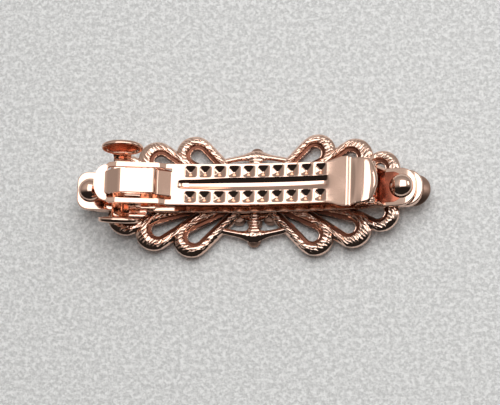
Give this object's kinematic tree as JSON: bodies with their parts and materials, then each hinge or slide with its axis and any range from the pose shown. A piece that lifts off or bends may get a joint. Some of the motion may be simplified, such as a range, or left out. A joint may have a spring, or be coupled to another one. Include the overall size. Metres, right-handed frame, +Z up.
{
  "type": "hair clip",
  "caption": "French barrette hair clip: bowed rose-gold base with an openwork petal ornament set with crystals, a toothed clasp arm on a pin hinge and a two-eared pinch latch.",
  "frame": {"origin": "on the surface that the clip lies on, under the middle of the ornament: the middle of the centre stone, whose flat table the clip lies on", "axes": "+X runs along the clip from the latch end to the hinge end, +Y across it toward the top of the picture, +Z up from the jewelled face through the clasp"},
  "size_m": [0.0781, 0.0288, 0.0148],
  "materials": {
    "rose_gold_plate": "polished rose-gold plating",
    "rose_gold_cast": "cast rose-gold plating with a brushed back",
    "rose_gold_spring": "polished rose-gold plated spring sheet",
    "crystal": "clear faceted crystal"
  },
  "bodies": {
    "base": {"base_bar": "rose_gold_plate", "hinge_pin": "rose_gold_plate", "latch_plate": "rose_gold_spring", "ornament_frame": "rose_gold_cast", "rivet_left": "rose_gold_plate", "rivet_right": "rose_gold_plate", "stone_accent_back": "crystal", "stone_accent_front": "crystal", "stone_centre": "crystal", "stone_left_back_1a": "crystal", "stone_left_back_1b": "crystal", "stone_left_back_1c": "crystal", "stone_left_back_2a": "crystal", "stone_left_back_2b": "crystal", "stone_left_back_2c": "crystal", "stone_left_back_3a": "crystal", "stone_left_back_3b": "crystal", "stone_left_back_3c": "crystal", "stone_left_front_1a": "crystal", "stone_left_front_1b": "crystal", "stone_left_front_1c": "crystal", "stone_left_front_2a": "crystal", "stone_left_front_2b": "crystal", "stone_left_front_2c": "crystal", "stone_left_front_3a": "crystal", "stone_left_front_3b": "crystal", "stone_left_front_3c": "crystal", "stone_right_back_1a": "crystal", "stone_right_back_1b": "crystal", "stone_right_back_1c": "crystal", "stone_right_back_2a": "crystal", "stone_right_back_2b": "crystal", "stone_right_back_2c": "crystal", "stone_right_back_3a": "crystal", "stone_right_back_3b": "crystal", "stone_right_back_3c": "crystal", "stone_right_front_1a": "crystal", "stone_right_front_1b": "crystal", "stone_right_front_1c": "crystal", "stone_right_front_2a": "crystal", "stone_right_front_2b": "crystal", "stone_right_front_2c": "crystal", "stone_right_front_3a": "crystal", "stone_right_front_3b": "crystal", "stone_right_front_3c": "crystal", "stone_ring_01": "crystal", "stone_ring_02": "crystal", "stone_ring_03": "crystal", "stone_ring_04": "crystal", "stone_ring_05": "crystal", "stone_ring_06": "crystal", "stone_ring_07": "crystal", "stone_ring_08": "crystal", "stone_ring_09": "crystal", "stone_ring_10": "crystal", "tension_bar": "rose_gold_spring"},
    "arm": {"clasp_arm": "rose_gold_plate"},
    "ear_back": {"latch_ear_back": "rose_gold_spring"},
    "ear_front": {"latch_ear_front": "rose_gold_spring"}
  },
  "joints": [
    {"name": "arm_hinge", "type": "hinge", "parent": "base", "child": "arm", "pos_m": [0.02687, 0, 0.00991], "axis": [0, 1, 0], "range_deg": [0, 75]},
    {"name": "ear_back_flex", "type": "hinge", "parent": "base", "child": "ear_back", "pos_m": [-0.02695, 0.0031, 0.00724], "axis": [0.9902, 0, -0.1395], "range_deg": [0, 8], "stiffness_Nm_per_rad": 0.05},
    {"name": "ear_front_flex", "type": "hinge", "parent": "base", "child": "ear_front", "pos_m": [-0.02695, -0.0031, 0.00724], "axis": [-0.9902, 0, 0.1395], "range_deg": [0, 8], "stiffness_Nm_per_rad": 0.05}
  ]
}
